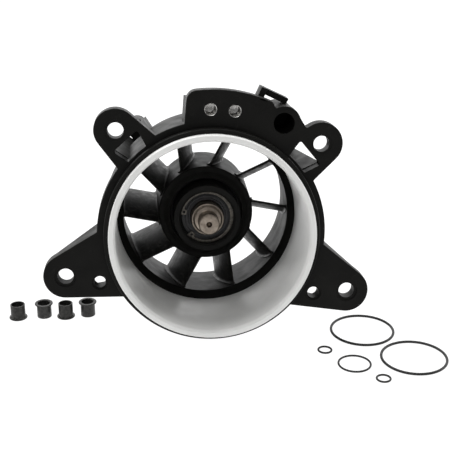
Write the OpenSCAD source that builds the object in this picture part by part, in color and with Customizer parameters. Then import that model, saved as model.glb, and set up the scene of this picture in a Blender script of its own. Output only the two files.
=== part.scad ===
// Jet pump stator housing with wear ring, impeller shaft, bearings and fitting kit.
// Millimetres. Origin on the pump axis, in the plane of the ears' front faces.
// X to the right seen from the intake, +Y towards the nozzle end, +Z up.

/* [Wear ring] */
// Bore of the wear ring, the size class of the pump
bore_d = 140; // [125:1:170]
// Wall of the wear ring
ring_wall = 5; // [3.5:0.1:7]
// Length of the wear ring
ring_len = 74.6; // [60:0.1:90]
// How far the wear ring stands out of its sleeve
ring_proud = 6.5; // [2:0.1:8]
// Lead-in chamfer at the mouth of the wear ring
ring_lead = 1.4; // [0.5:0.1:2.5]
// Radial clearance between the wear ring and its sleeve
ring_gap = 0.05; // [0.02:0.01:0.2]

/* [Housing] */
// Wall of the sleeve round the wear ring
sleeve_wall = 4.8; // [3:0.1:7]
// How far the sleeve stands in front of the ears
sleeve_proud = 7.5; // [4:0.1:10]
// Thickness of the ears, the bracket and the flange ring
ear_t = 11.6; // [8:0.1:16]
// Radial width of the flange ring outside the sleeve
flange_w = 3.5; // [2:0.1:8]
// Length of the housing behind the ears' front faces
housing_len = 126; // [110:1:150]
// Wall of the stator duct
duct_wall = 4.5; // [3:0.1:7]
// Step from the wear ring's bore in to the duct's throat, radial
throat_step = 5; // [3:0.1:8]
// Growth of the duct's radius from throat to exit
duct_flare = 2.5; // [0.5:0.1:4]

/* [Mounting ears] */
// Across the two upper holes
upper_span = 147.6; // [144:0.1:170]
// Height of the upper holes above the axis
upper_z = 71.4; // [68:0.1:85]
// Radius of an upper ear
upper_ear_r = 15.6; // [13:0.1:18]
// Across the two outer lower holes
lower_span = 208.2; // [200:0.1:240]
// Depth of the outer lower holes below the axis
lower_z = 37.9; // [34:0.1:42]
// Radius of a lower ear
lower_ear_r = 16.2; // [14:0.1:18]
// Diameter of the four bushed holes
ear_hole_d = 11.6; // [9:0.1:13]
// Across the two inner lower holes
dowel_span = 158.4; // [156:0.1:164]
// Depth of the inner lower holes below the axis
dowel_z = 40.8; // [38:0.1:42]
// Diameter of the inner lower holes
dowel_hole_d = 8.6; // [6:0.1:10]
// Recess round an outer lower hole, radial
hole_recess = 2; // [0.8:0.1:2.4]
// Recess round an inner lower hole, radial
dowel_recess = 1.3; // [0.5:0.1:1.6]
// Depth of that recess
recess_depth = 1; // [0.5:0.1:2]

/* [Top bracket] */
// Radius of the bracket's top edge, from the pump axis
bracket_r = 105.3; // [103:0.1:112]
// Left edge of the bracket
bracket_left = 25.5; // [20:0.1:32]
// Fillet of the bracket's top corner
bracket_fillet = 8; // [4:0.5:11]
// Distance between the two insert holes
insert_pitch = 17.4; // [14:0.1:20]
// Sideways place of the insert pair's middle
insert_x = 1; // [-4:0.1:4]
// Height of the insert holes
insert_z = 90.6; // [88:0.1:93]
// Thread diameter of the bracket inserts
insert_d = 8; // [5:0.1:8.4]
// Wall of a threaded insert
insert_wall = 1.2; // [0.8:0.1:1.6]
// Depth at which the bracket inserts start
insert_sink = 1.5; // [0.5:0.1:3]
// Place of the hose port, sideways
port_x = 45.4; // [43:0.1:48]
// Place of the hose port, upwards
port_z = 84.4; // [83:0.1:86]
// Bore of the hose port
port_d = 15; // [10:0.1:18]
// Wall of the hose port's boss
port_wall = 4.8; // [3:0.1:6]
// Length of the hose port's boss
port_len = 44; // [25:1:55]
// Depth of the hose port's bore
port_depth = 38; // [18:1:38]

/* [Hub and vanes] */
// Number of stator vanes
vane_count = 10; // [7:1:13]
// Thickness of a vane
vane_t = 3.4; // [2:0.1:5]
// Where the vanes start behind the ears' front faces
vane_front = 71; // [69:0.5:76]
// Length of a vane along the axis
vane_len = 50; // [35:0.5:50]
// Sideways sweep of a vane from its front edge to its rear edge
vane_sweep = 11.5; // [6:0.5:15]
// Angle of the first vane's root at its front edge, above the X axis
vane_phase = 17.5; // [0:0.5:35]
// Lean of a vane from the radius at its root, clockwise seen from the intake
vane_lean = 24; // [0:1:30]
// Hub diameter at its front face
hub_d = 74.2; // [72:0.1:86]
// Growth of the hub's radius towards the rear
hub_flare = 1.8; // [0:0.1:3]
// Where the hub's front face lies
hub_front = 67; // [66:0.1:68]
// Where the hub ends
hub_end = 121; // [120:0.5:124]
// Outer diameter of the nose boss
nose_d = 52; // [50:0.1:54]
// Where the nose boss starts
nose_front = 47; // [44:0.1:50]
// Bore of the nose boss
seal_bore_d = 41.2; // [38:0.1:43]

/* [Shaft and bearings] */
// Shaft diameter, the bearings' bore
shaft_d = 25; // [20:0.1:25.5]
// Outer diameter of a bearing
bearing_d = 52; // [51:0.1:54]
// Width of a bearing
bearing_w = 15; // [12:0.1:15.5]
// Length of the spacer between the bearings
spacer_len = 11; // [8:0.1:12]
// Ball diameter
ball_d = 7.94; // [6:0.01:8.5]
// Balls in a bearing
ball_count = 9; // [7:1:10]
// Clearance between a ball and its tracks
ball_gap = 0.04; // [0.02:0.01:0.1]
// Thread diameter of the shaft's front end
stub_d = 16; // [12:0.1:18]
// Where the shaft's front end lies
shaft_front = 27; // [25:0.5:32]
// Where the full shaft diameter starts
shaft_step = 45; // [41:0.5:46]
// Running clearance between the shaft and the seal's lip
lip_gap = 0.05; // [0.02:0.01:0.1]
// Width across the flats of the shaft nut
nut_af = 30; // [28:0.5:34]

/* [Fitting kit] */
// Wall of a mount bush
bush_wall = 1; // [0.6:0.1:1.5]
// Radial width of a bush's flange
bush_flange = 1.4; // [1:0.1:2]
// Clearance all round between a bush and its hole, radial
bush_gap = 0.1; // [0.05:0.05:0.3]
// Mean diameter of a large seal ring
large_ring_d = 47.9; // [40:0.1:52]
// Mean diameter of the medium seal ring
medium_ring_d = 23.4; // [18:0.1:26]
// Mean diameter of a small seal ring
small_ring_d = 9.8; // [8:0.1:12]
// Cord of the large seal rings
ring_cord = 2; // [1.5:0.1:2.6]
// Cord of the medium and small seal rings
small_cord = 1.5; // [1:0.1:2]

/* [Hidden] */
$fn = 96;
eps = 0.01;

// Colours
black = [0.09, 0.09, 0.085];
white = [0.9, 0.9, 0.88];
steel = [0.62, 0.6, 0.56];
bright = [0.8, 0.8, 0.8];
rubber = [0.05, 0.05, 0.05];

// Wear ring and housing
bore_r = bore_d / 2;
ring_r = bore_r + ring_wall;
seat_r = ring_r + ring_gap;
sleeve_r = seat_r + sleeve_wall;
flange_r = sleeve_r + flange_w;
ring_front = -sleeve_proud - ring_proud;
ring_rear = ring_front + ring_len;
lip_r = sleeve_r - 1.4;
throat_r = bore_r - throat_step;
throat_y = ring_rear + 6.4;
duct_front_r = throat_r + duct_wall + 3.5;
exit_r = throat_r + duct_flare;
rear_r = exit_r + duct_wall;
sleeve_end = throat_y - 1;
neck_y = throat_y + 11;
// The flange ring stops this far below the axis, between the lower ears
flange_low = 51;

// Hub
hub_r = hub_d / 2;
hub_rear_r = hub_r + hub_flare;
nose_r = nose_d / 2;
seal_bore_r = seal_bore_d / 2;
hub_groove_w = 2.3;
hub_dish = 5;
bearing_r = bearing_d / 2;
bearing_front = hub_front + 3;
rear_bearing = bearing_front + bearing_w + spacer_len;
stack_end = rear_bearing + bearing_w;
hub_shoulder_r = bearing_r - 4;
clip_t = 1.5;
clip_gap = 0.05;
clip_depth = 1.4;
hub_mouth_r = bearing_r + 0.4;

// Ball bearings
shaft_r = shaft_d / 2;
ball_r = ball_d / 2;
ball_pitch_r = (shaft_r + bearing_r) / 2;
track_land = ball_r * 0.55;
cage_half = ball_r * 0.4;
cage_w = ball_d + 2.6;
pocket_gap = 0.1;

// Seal and circlip in the nose
seal_front = nose_front + 7.6;
seal_len = 7.4;
seal_wall = 1.2;
seal_throat = 2;
spring_cord = 1.5;
lug_r = 3.1;
lug_hole_d = 2;
lug_angles = [181, 224];
clip_y = nose_front + 4.9;

// Shaft
stub_r = stub_d / 2;
stub_chamfer = 0.9;
stub_end = shaft_step - 3;
thread_r = shaft_r - 2.5;
washer_t = 2;
nut_t = 8;
centre_hole_d = 3.8;
centre_hole_depth = 5;

// Bosses with threaded inserts
insert_end = 18;
insert_boss_r = insert_d / 2 + insert_wall + 2;
nozzle_pitch_r = rear_r + 9;
nozzle_boss_r = 8;
nozzle_boss_len = 24;
nozzle_insert_d = 6.8;
nozzle_insert_len = 16;
cone_pitch_r = (hub_mouth_r + hub_rear_r) / 2;
cone_insert_d = 4.2;
cone_insert_wall = 1;
cone_insert_len = 10;
cone_count = 3;

// Ears and their holes: [x, z] of the right-hand hole
upper_hole = [upper_span / 2, upper_z];
lower_hole = [lower_span / 2, -lower_z];
dowel_hole = [dowel_span / 2, -dowel_z];
ear_hole_r = ear_hole_d / 2;
dowel_hole_r = dowel_hole_d / 2;
pocket_rim = 0.6;

// Ribs behind the ears and the bracket
rib_t = 4;
rib_inset = 0.3;
lower_rib_len = 44;
lower_rib_depth = 33;
long_rib_end = housing_len - nozzle_boss_len + 4;
bracket_rib_depth = 46;

// Hose hook
hook_angle = 69.5;
hook_len = 22;
hook_w = 15;
hook_t = 4.5;
hook_gap = 1.5;

// Fitting kit: the flat surface it lies on touches the sleeve's rear edge and the housing's rear rim
kit_tilt = atan((sleeve_r - rear_r) / (housing_len - sleeve_end));
kit_roll = -5;
bush_r = ear_hole_r - bush_gap;
bush_flange_r = bush_r + bush_flange;
bush_flange_t = recess_depth;
bush_len = ear_t;
bush_places = [[-150.7, -4.3], [-130.2, -3.3], [-113.1, -5.2], [-95.7, -3.5]];
large_ring_places = [[117, -49.2], [146.1, -94.5]];
medium_ring_place = [100.7, -99.3];
small_ring_places = [[82.8, -77.3], [117, -121.5]];

// A solid of revolution about the pump axis, from a profile of [radius, y] points
module turned(profile) {
    rotate([-90, 0, 0])
        rotate_extrude()
            polygon(profile);
}

// A plate from y0 to y1 whose outline is drawn in X and Z
module plate(y0, y1) {
    translate([0, y1, 0])
        rotate([90, 0, 0])
            linear_extrude(y1 - y0)
                children();
}

// A rod or hole along Y at [x, z]
module rod(place, r, y0, y1) {
    translate([place[0], y0, place[1]])
        rotate([-90, 0, 0])
            cylinder(r = r, h = y1 - y0);
}

// A tube along Y about the pump axis
module tube(r_out, r_in, y0, y1) {
    turned([[r_in, y0], [r_out, y0], [r_out, y1], [r_in, y1]]);
}

// A torus about the pump axis
module hoop(mean_r, cord_r, y) {
    translate([0, y, 0])
        rotate([-90, 0, 0])
            rotate_extrude()
                translate([mean_r, 0])
                    circle(r = cord_r, $fn = 48);
}

function at(r, a) = [r * cos(a), r * sin(a)];

// An ear's outline: a round end and two edges that leave it at the angles a1 and a2
module ear_outline(hole, r, a1, len1, a2, len2) {
    first = a1 + 90;
    last = a2 - 90;
    steps = 20;
    rim = [for (i = [0:steps]) hole + at(r, first + (last - first) * i / steps)];
    polygon(concat(rim, [rim[steps] + at(len2, a2), rim[0] + at(len1, a1)]));
}

// The outlines of the right-hand ears, which the left-hand ones mirror
module upper_ear_outline() {
    ear_outline(upper_hole, upper_ear_r, -131, 32, 217, 36);
}
module lower_ear_outline() {
    ear_outline(lower_hole, lower_ear_r, -184, 60, 144.7, 46);
}

// The top bracket between its left edge and the upper right ear
module bracket_outline() {
    corner_r = bracket_r - bracket_fillet;
    corner = [-bracket_left + bracket_fillet, sqrt(corner_r ^ 2 - (bracket_left - bracket_fillet) ^ 2)];
    arc_start = atan2(corner[1], corner[0]);
    arc_end = 70;
    polygon(concat(
        [[-bracket_left, sleeve_r - 8], [-bracket_left, corner[1]]],
        [for (i = [0:6]) corner + at(bracket_fillet, 180 - i * (180 - arc_start) / 6)],
        [for (i = [1:16]) at(bracket_r, arc_start - i * (arc_start - arc_end) / 16)],
        [[port_x, port_z], upper_hole, at(sleeve_r - 2, 46)]));
    translate([port_x, port_z])
        circle(r = port_d / 2 + port_wall);
    polygon([[port_x, port_z], [port_x + 9, port_z + 8], [upper_hole[0] - 13, upper_hole[1] + 12], upper_hole,
        at(sleeve_r - 2, 46)]);
}

// The pocket between an upper ear and the sleeve
module pocket_outline() {
    a = atan2(upper_hole[1], upper_hole[0]);
    out_r = norm(upper_hole) - ear_hole_r - 4.2;
    rotate(a)
        difference() {
            polygon([[sleeve_r - 6, -8.4], [out_r, -11.6], [out_r, 11.6], [sleeve_r - 6, 8.4]]);
            circle(r = sleeve_r + pocket_rim);
        }
}

module mirrored() {
    children();
    mirror([1, 0, 0])
        children();
}

// A rib along a straight edge of a lower ear, deepest at the sleeve; inner is the ear's side of that edge
module edge_rib(away, inner) {
    start = lower_hole + at(lower_ear_r, away - inner * 90);
    translate([start[0], 0, start[1]])
        rotate([0, -away, 0])
            translate([0, 0, inner > 0 ? rib_inset : -rib_inset - rib_t])
                linear_extrude(rib_t)
                    polygon([[0, ear_t - 1], [lower_rib_len, ear_t - 1], [lower_rib_len, lower_rib_depth],
                        [0, ear_t + 0.5]]);
}

// The two ribs that run from an upper ear along the housing to the nozzle boss behind it
module long_ribs() {
    far = norm(upper_hole) - 2;
    near = exit_r + 1.5;
    rotate([0, -atan2(upper_hole[1], upper_hole[0]), 0])
        intersection() {
            plate(ear_t - 1, long_rib_end)
                for (side = [-1, 1])
                    polygon([[near, side * 5], [far, side * 13.3], [far, side * 15.5], [near, side * 10.5]]);
            translate([0, 0, -upper_ear_r])
                linear_extrude(2 * upper_ear_r)
                    polygon([[near, ear_t - 1], [far, ear_t - 1], [far, ear_t + 1], [sleeve_r + 13, ear_t + 5],
                        [sleeve_r + 4, long_rib_end], [near, long_rib_end]]);
        }
}

// The rib behind the bracket's left edge
module bracket_rib() {
    plate(ear_t - 1, bracket_rib_depth)
        polygon([[-bracket_left + rib_inset, sleeve_r - 7], [-bracket_left + rib_inset, bracket_r - 11],
            [-bracket_left + rib_inset + rib_t, bracket_r - 11], [-bracket_left + rib_inset + rib_t, sleeve_r - 7]]);
}

// Sleeve, throat and duct in one profile
module duct_body() {
    turned([[seat_r, -sleeve_proud], [lip_r, -sleeve_proud], [lip_r, 0], [sleeve_r, 0],
        [sleeve_r, sleeve_end], [duct_front_r, neck_y], [rear_r, housing_len],
        [exit_r, housing_len], [throat_r, throat_y], [bore_r, ring_rear], [seat_r, ring_rear]]);
}

// Hook for a hose behind the bracket: a stem at its left end and a bar that leaves it to the right
module hose_hook() {
    rotate([0, -hook_angle, 0]) {
        translate([bracket_r - 8, ear_t - 1, hook_len / 2 - hook_t])
            cube([8 + hook_gap + hook_t, hook_w + 1, hook_t]);
        translate([bracket_r + hook_gap, ear_t + 3, -hook_len / 2])
            cube([hook_t, hook_w - 3, hook_len]);
    }
}

module pump_housing() {
    color(black)
        difference() {
            union() {
                duct_body();
                plate(0, ear_t)
                    difference() {
                        union() {
                            mirrored() {
                                upper_ear_outline();
                                lower_ear_outline();
                            }
                            bracket_outline();
                            intersection() {
                                circle(r = flange_r);
                                translate([-flange_r, -flange_low])
                                    square(2 * flange_r);
                            }
                        }
                        circle(r = sleeve_r - 1);
                    }
                rod([port_x, port_z], port_d / 2 + port_wall, 0, port_len);
                for (side = [-0.5, 0.5])
                    rod([insert_x + side * insert_pitch, insert_z], insert_boss_r, ear_t - 1, insert_end + 1);
                rotate([0, -atan2(port_z, port_x), 0])
                    translate([sleeve_r - 2, ear_t - 1, -4])
                        cube([norm([port_x, port_z]) - sleeve_r - 4, port_len - ear_t + 1, 8]);
                for (i = [0:3])
                    rotate([0, 45 + 90 * i, 0]) {
                        rod([nozzle_pitch_r, 0], nozzle_boss_r, housing_len - nozzle_boss_len, housing_len);
                        translate([rear_r - 1, housing_len - nozzle_boss_len, -nozzle_boss_r])
                            cube([nozzle_pitch_r - rear_r + 1, nozzle_boss_len, 2 * nozzle_boss_r]);
                    }
                mirrored() {
                    edge_rib(-184, -1);
                    edge_rib(144.7, 1);
                    long_ribs();
                }
                bracket_rib();
                hose_hook();
            }
            plate(-1, ear_t + 1)
                mirrored()
                    pocket_outline();
            mirrored() {
                rod(upper_hole, ear_hole_r, -1, ear_t + 1);
                rod(lower_hole, ear_hole_r, -1, ear_t + 1);
                rod(lower_hole, ear_hole_r + hole_recess, -1, recess_depth);
                rod(dowel_hole, dowel_hole_r, -1, ear_t + 1);
                rod(dowel_hole, dowel_hole_r + dowel_recess, -1, recess_depth);
            }
            rod([port_x, port_z], port_d / 2, -1, port_depth);
            for (side = [-0.5, 0.5]) {
                rod([insert_x + side * insert_pitch, insert_z], insert_d / 2 + 0.5, -1, insert_sink + eps);
                rod([insert_x + side * insert_pitch, insert_z], insert_d / 2 + insert_wall, insert_sink, insert_end);
            }
            for (i = [0:3])
                rotate([0, 45 + 90 * i, 0])
                    rod([nozzle_pitch_r, 0], nozzle_insert_d / 2 + insert_wall, housing_len - nozzle_insert_len,
                        housing_len + 1);
            turned([[0, ring_front - 1], [seat_r, ring_front - 1], [seat_r, ring_rear], [bore_r, ring_rear],
                [throat_r, throat_y], [exit_r, housing_len], [exit_r, housing_len + 1], [0, housing_len + 1]]);
        }
}

function duct_inner_r(y) = throat_r + duct_flare * (y - throat_y) / (housing_len - throat_y);
function hub_outer_r(y) = hub_r + hub_flare * (y - hub_front) / (hub_end - hub_front);

// A vane's camber line: slanted at the front edge, along the axis at the rear edge
function camber(s) = vane_sweep * (1 - (1 - s) ^ 2);
function vane_half(s) = vane_t / 2 * (0.35 + 0.65 * sin(180 * min(1, s * 1.6 + 0.12) / 2)) * (1 - 0.45 * s ^ 3);

module stator_vanes() {
    steps = 14;
    front_side = [for (i = [0:steps]) [camber(i / steps) - vane_half(i / steps), vane_front + vane_len * i / steps]];
    rear_side = [for (i = [steps:-1:0]) [camber(i / steps) + vane_half(i / steps), vane_front + vane_len * i / steps]];
    vane_end = vane_front + vane_len;
    color(black)
        for (i = [0:vane_count - 1])
            intersection() {
                rotate([0, 90 - vane_phase - i * 360 / vane_count, 0])
                    translate([0, 0, hub_r])
                        rotate([0, vane_lean, 0])
                            translate([0, 0, -8])
                                linear_extrude(exit_r - hub_r + 18)
                                    polygon(concat(front_side, rear_side));
                turned([[hub_outer_r(vane_front - 1), vane_front - 1], [duct_inner_r(vane_front - 1), vane_front - 1],
                    [duct_inner_r(vane_end), vane_end], [hub_outer_r(vane_end), vane_end]]);
            }
}

module stator_hub() {
    groove_r = nose_r + hub_groove_w;
    color(black)
        difference() {
            turned([[seal_bore_r + 0.8, nose_front], [nose_r - 0.6, nose_front], [nose_r, nose_front + 0.6],
                [nose_r, hub_front + 2], [groove_r, hub_front + 2], [groove_r, hub_front - hub_dish],
                [hub_r - 4, hub_front - 1.5], [hub_r - 0.8, hub_front - 0.6], [hub_r, hub_front],
                [hub_rear_r, hub_end], [hub_mouth_r, hub_end], [hub_mouth_r, stack_end + clip_gap + clip_t + 1],
                [bearing_r, stack_end + clip_gap + clip_t + 1], [bearing_r, bearing_front],
                [hub_shoulder_r, bearing_front], [hub_shoulder_r, seal_front + seal_len + 2],
                [seal_bore_r, seal_front + seal_len + 2], [seal_bore_r, nose_front + 0.8]]);
            tube(seal_bore_r + clip_depth, seal_bore_r - 1, clip_y, clip_y + clip_t + 2 * clip_gap);
            tube(bearing_r + clip_depth, bearing_r - 1, stack_end, stack_end + clip_t + 2 * clip_gap);
            for (i = [0:cone_count - 1])
                rotate([0, 90 + i * 360 / cone_count, 0])
                    rod([cone_pitch_r, 0], cone_insert_d / 2 + cone_insert_wall, hub_end - cone_insert_len,
                        hub_end + 1);
        }
}

module wear_ring() {
    color(white)
        turned([[bore_r + ring_lead, ring_front], [ring_r - 0.6, ring_front], [ring_r, ring_front + 0.6],
            [ring_r, ring_rear], [bore_r, ring_rear], [bore_r, ring_front + 2 * ring_lead]]);
}

module bracket_inserts() {
    color(bright)
        for (side = [-0.5, 0.5])
            difference() {
                rod([insert_x + side * insert_pitch, insert_z], insert_d / 2 + insert_wall, insert_sink, insert_end);
                rod([insert_x + side * insert_pitch, insert_z], insert_d / 2, insert_sink - 1, insert_end - 1);
            }
}

module nozzle_inserts() {
    color(bright)
        for (i = [0:3])
            rotate([0, 45 + 90 * i, 0])
                difference() {
                    rod([nozzle_pitch_r, 0], nozzle_insert_d / 2 + insert_wall, housing_len - nozzle_insert_len,
                        housing_len);
                    rod([nozzle_pitch_r, 0], nozzle_insert_d / 2, housing_len - nozzle_insert_len + 1,
                        housing_len + 1);
                }
}

module cone_inserts() {
    color(bright)
        for (i = [0:cone_count - 1])
            rotate([0, 90 + i * 360 / cone_count, 0])
                difference() {
                    rod([cone_pitch_r, 0], cone_insert_d / 2 + cone_insert_wall, hub_end - cone_insert_len, hub_end);
                    rod([cone_pitch_r, 0], cone_insert_d / 2, hub_end - cone_insert_len + 1, hub_end + 1);
                }
}

module impeller_shaft() {
    nut_end = stack_end + washer_t + nut_t;
    color(steel)
        difference() {
            turned([[0, shaft_front], [stub_r - stub_chamfer, shaft_front], [stub_r, shaft_front + stub_chamfer],
                [stub_r, stub_end], [stub_r + 2, shaft_step - 0.8], [shaft_r - 0.8, shaft_step - 0.8],
                [shaft_r, shaft_step], [shaft_r, stack_end], [thread_r, stack_end], [thread_r, nut_end + 1],
                [thread_r - 1, nut_end + 2], [0, nut_end + 2]]);
            rod([0, 0], centre_hole_d / 2, shaft_front - 1, shaft_front + centre_hole_depth);
            rod([0, 0], centre_hole_d / 2, nut_end + 2 - centre_hole_depth, nut_end + 3);
        }
}

module nut_washer() {
    color(steel)
        tube(shaft_r + 3, thread_r, stack_end, stack_end + washer_t);
}

module shaft_nut() {
    color(steel)
        translate([0, stack_end + washer_t, 0])
            rotate([-90, 0, 0])
                difference() {
                    cylinder(r = nut_af / 2 / cos(30), h = nut_t, $fn = 6);
                    translate([0, 0, -1])
                        cylinder(r = thread_r, h = nut_t + 2);
                }
}

module bearing_spacer() {
    color(steel)
        tube(shaft_r + 3, shaft_r, bearing_front + bearing_w, rear_bearing);
}

// The four parts of a deep groove ball bearing whose front face is at y
module outer_race(y) {
    color(bright)
        difference() {
            tube(bearing_r, ball_pitch_r + track_land, y, y + bearing_w);
            hoop(ball_pitch_r, ball_r + ball_gap, y + bearing_w / 2);
        }
}
module inner_race(y) {
    color(bright)
        difference() {
            tube(ball_pitch_r - track_land, shaft_r, y, y + bearing_w);
            hoop(ball_pitch_r, ball_r + ball_gap, y + bearing_w / 2);
        }
}
module ball_set(y) {
    color(bright)
        for (i = [0:ball_count - 1])
            rotate([0, i * 360 / ball_count, 0])
                translate([ball_pitch_r, y + bearing_w / 2, 0])
                    sphere(r = ball_r, $fn = 48);
}
module ball_cage(y) {
    mid = y + bearing_w / 2;
    pocket = ball_d + 2 * pocket_gap;
    color(steel)
        difference() {
            tube(ball_pitch_r + cage_half, ball_pitch_r - cage_half, mid - cage_w / 2, mid + cage_w / 2);
            for (i = [0:ball_count - 1])
                rotate([0, i * 360 / ball_count, 0])
                    translate([shaft_r, mid - pocket / 2, -pocket / 2])
                        cube([bearing_r - shaft_r, pocket, pocket]);
        }
}

module front_bearing_outer() { outer_race(bearing_front); }
module front_bearing_inner() { inner_race(bearing_front); }
module front_bearing_balls() { ball_set(bearing_front); }
module front_bearing_cage() { ball_cage(bearing_front); }
module rear_bearing_outer() { outer_race(rear_bearing); }
module rear_bearing_inner() { inner_race(rear_bearing); }
module rear_bearing_balls() { ball_set(rear_bearing); }
module rear_bearing_cage() { ball_cage(rear_bearing); }

// The retaining ring behind the rear bearing, which holds both bearings in the hub
module bearing_circlip() {
    circlip(bearing_r, stack_end + clip_gap, [80, 100]);
}

// An internal circlip in a groove of a bore, with a gap and two drilled lugs
module circlip(groove_bore_r, y, ends) {
    out_r = groove_bore_r + clip_depth - clip_gap;
    in_r = groove_bore_r - 1.7;
    gap_mid = (ends[0] + ends[1]) / 2;
    gap_half = (ends[1] - ends[0]) / 2;
    color(steel)
        plate(y, y + clip_t)
            difference() {
                union() {
                    difference() {
                        circle(r = out_r);
                        circle(r = in_r);
                        rotate(gap_mid)
                            polygon([[0, 0], at(2 * out_r, -gap_half), [3 * out_r, 0], at(2 * out_r, gap_half)]);
                    }
                    for (a = ends)
                        translate(at(in_r, a))
                            circle(r = lug_r - 0.8);
                }
                for (a = ends)
                    translate(at(in_r, a))
                        circle(r = lug_hole_d / 2);
            }
}

module seal_circlip() {
    circlip(seal_bore_r, clip_y + clip_gap, lug_angles);
}

module seal_case() {
    color(rubber)
        turned([[shaft_r + seal_throat + 2, seal_front], [seal_bore_r - 1.2, seal_front],
            [seal_bore_r, seal_front + 1.2], [seal_bore_r, seal_front + seal_len],
            [seal_bore_r - seal_wall, seal_front + seal_len],
            [seal_bore_r - seal_wall, seal_front + 1.8], [shaft_r + seal_throat + 2, seal_front + 1.8]]);
}

module seal_lip() {
    lip_r0 = shaft_r + lip_gap;
    color(rubber)
        difference() {
            turned([[lip_r0 + 0.8, seal_front - 0.6], [shaft_r + seal_throat + 2, seal_front - 0.6],
                [shaft_r + seal_throat + 2, seal_front + seal_len - 1], [lip_r0 + 0.9, seal_front + seal_len - 1],
                [lip_r0, seal_front + seal_len - 2.4], [lip_r0 + 0.7, seal_front + 2.4], [lip_r0, seal_front + 0.6]]);
            hoop(shaft_r + seal_throat + 2, spring_cord / 2, seal_front + seal_len - 3);
        }
}

module seal_spring() {
    color(steel)
        hoop(shaft_r + seal_throat + 2, spring_cord / 2, seal_front + seal_len - 3);
}

// Places a child on the flat surface that the pump and its kit lie on
module on_kit_surface(place) {
    rotate([0, kit_roll, 0])
        translate([0, sleeve_end, -sleeve_r])
            rotate([kit_tilt, 0, 0])
                translate([place[0], place[1], 0])
                    children();
}

// A flanged bush on end; flange_up turns it over
module mount_bush(place, flange_up) {
    color(black)
        on_kit_surface(place)
            translate([0, 0, flange_up ? bush_len : 0])
                mirror([0, 0, flange_up ? 1 : 0])
                    rotate_extrude()
                        polygon([[bush_r - bush_wall, 0], [bush_flange_r, 0], [bush_flange_r, bush_flange_t],
                            [bush_r, bush_flange_t], [bush_r, bush_len], [bush_r - bush_wall, bush_len]]);
}

module seal_ring(place, mean_d, cord) {
    color(rubber)
        on_kit_surface(place)
            translate([0, 0, cord / 2])
                rotate_extrude()
                    translate([mean_d / 2, 0])
                        circle(r = cord / 2, $fn = 32);
}

pump_housing();
stator_vanes();
stator_hub();
wear_ring();
bracket_inserts();
nozzle_inserts();
cone_inserts();
impeller_shaft();
shaft_nut();
nut_washer();
bearing_spacer();
front_bearing_outer();
front_bearing_inner();
front_bearing_balls();
front_bearing_cage();
rear_bearing_outer();
rear_bearing_inner();
rear_bearing_balls();
rear_bearing_cage();
bearing_circlip();
seal_case();
seal_lip();
seal_spring();
seal_circlip();
mount_bush(bush_places[0], false);  // mount_bush_1
mount_bush(bush_places[1], true);  // mount_bush_2
mount_bush(bush_places[2], false);  // mount_bush_3
mount_bush(bush_places[3], true);  // mount_bush_4
seal_ring(large_ring_places[0], large_ring_d, ring_cord);  // large_seal_ring_1
seal_ring(large_ring_places[1], large_ring_d, ring_cord);  // large_seal_ring_2
seal_ring(medium_ring_place, medium_ring_d, small_cord);  // medium_seal_ring
seal_ring(small_ring_places[0], small_ring_d, small_cord);  // small_seal_ring_1
seal_ring(small_ring_places[1], small_ring_d, small_cord);  // small_seal_ring_2
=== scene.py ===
"""Jet pump stator housing: one polymer moulding with a white wear ring, the impeller shaft in
two ball bearings, a lip seal, threaded inserts, and the bushes and seal rings of its kit.

Lengths are millimetres here and metres in the meshes. The origin is on the pump axis in the
plane of the ears' front faces: X to the right seen from the intake, +Y towards the nozzle
end, +Z up.
"""

import math

import bmesh
import bpy
import numpy as np
from mathutils import Matrix, Vector
from mathutils.geometry import tessellate_polygon


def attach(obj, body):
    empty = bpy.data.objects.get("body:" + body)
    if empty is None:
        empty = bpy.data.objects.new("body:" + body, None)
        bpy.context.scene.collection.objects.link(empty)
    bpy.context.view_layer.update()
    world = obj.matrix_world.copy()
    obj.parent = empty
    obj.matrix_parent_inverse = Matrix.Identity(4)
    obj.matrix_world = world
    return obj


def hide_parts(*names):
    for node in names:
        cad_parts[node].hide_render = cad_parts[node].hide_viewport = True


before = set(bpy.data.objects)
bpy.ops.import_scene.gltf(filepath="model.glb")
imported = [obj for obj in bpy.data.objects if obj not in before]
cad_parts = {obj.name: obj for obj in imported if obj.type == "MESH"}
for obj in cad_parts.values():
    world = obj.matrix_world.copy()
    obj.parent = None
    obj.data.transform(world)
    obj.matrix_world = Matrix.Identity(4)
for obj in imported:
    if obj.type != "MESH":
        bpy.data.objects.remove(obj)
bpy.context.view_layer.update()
MM = 0.001

# ---- sizes of the moulding
BORE_R = 70.0
RING_R = 75.0
RING_FRONT = -14.0
RING_REAR = 60.6
RING_LEAD = 1.4
SEAT_R = 75.05
SLEEVE_R = 79.85
SLEEVE_FRONT = -7.5
LIP_R = 78.45
FLANGE_R = 83.35
EAR_T = 11.6
THROAT_R = 65.0
THROAT_Y = 67.0
NECK_R = 73.0
NECK_Y = 78.0
EXIT_R = 67.5
REAR_R = 72.0
HOUSING_LEN = 126.0
MOULD_EDGE = 0.7

UPPER_HOLE = (73.8, 71.4)
UPPER_EAR_R = 15.6
LOWER_HOLE = (104.1, -37.9)
LOWER_EAR_R = 16.2
DOWEL_HOLE = (79.2, -40.8)
EAR_HOLE_R = 5.8
DOWEL_HOLE_R = 4.3
RECESS = 2.0
DOWEL_RECESS = 1.3
RECESS_DEPTH = 1.0

BRACKET_R = 105.3
BRACKET_LEFT = -25.5
BRACKET_FILLET = 8.0
BRACKET_END = 70.0
INSERT_HOLES = ((-7.7, 90.6), (9.7, 90.6))
INSERT_R = 4.0
INSERT_SINK = 1.5
INSERT_WALL = 1.2
INSERT_END = 18.0
PIN_MARK = (27.8, 95.9)
PIN_MARK_R = 4.6
PORT = (45.4, 84.4)
PORT_R = 7.5
PORT_BOSS_R = 12.3
PORT_LEN = 44.0
PORT_DEPTH = 38.0

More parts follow.
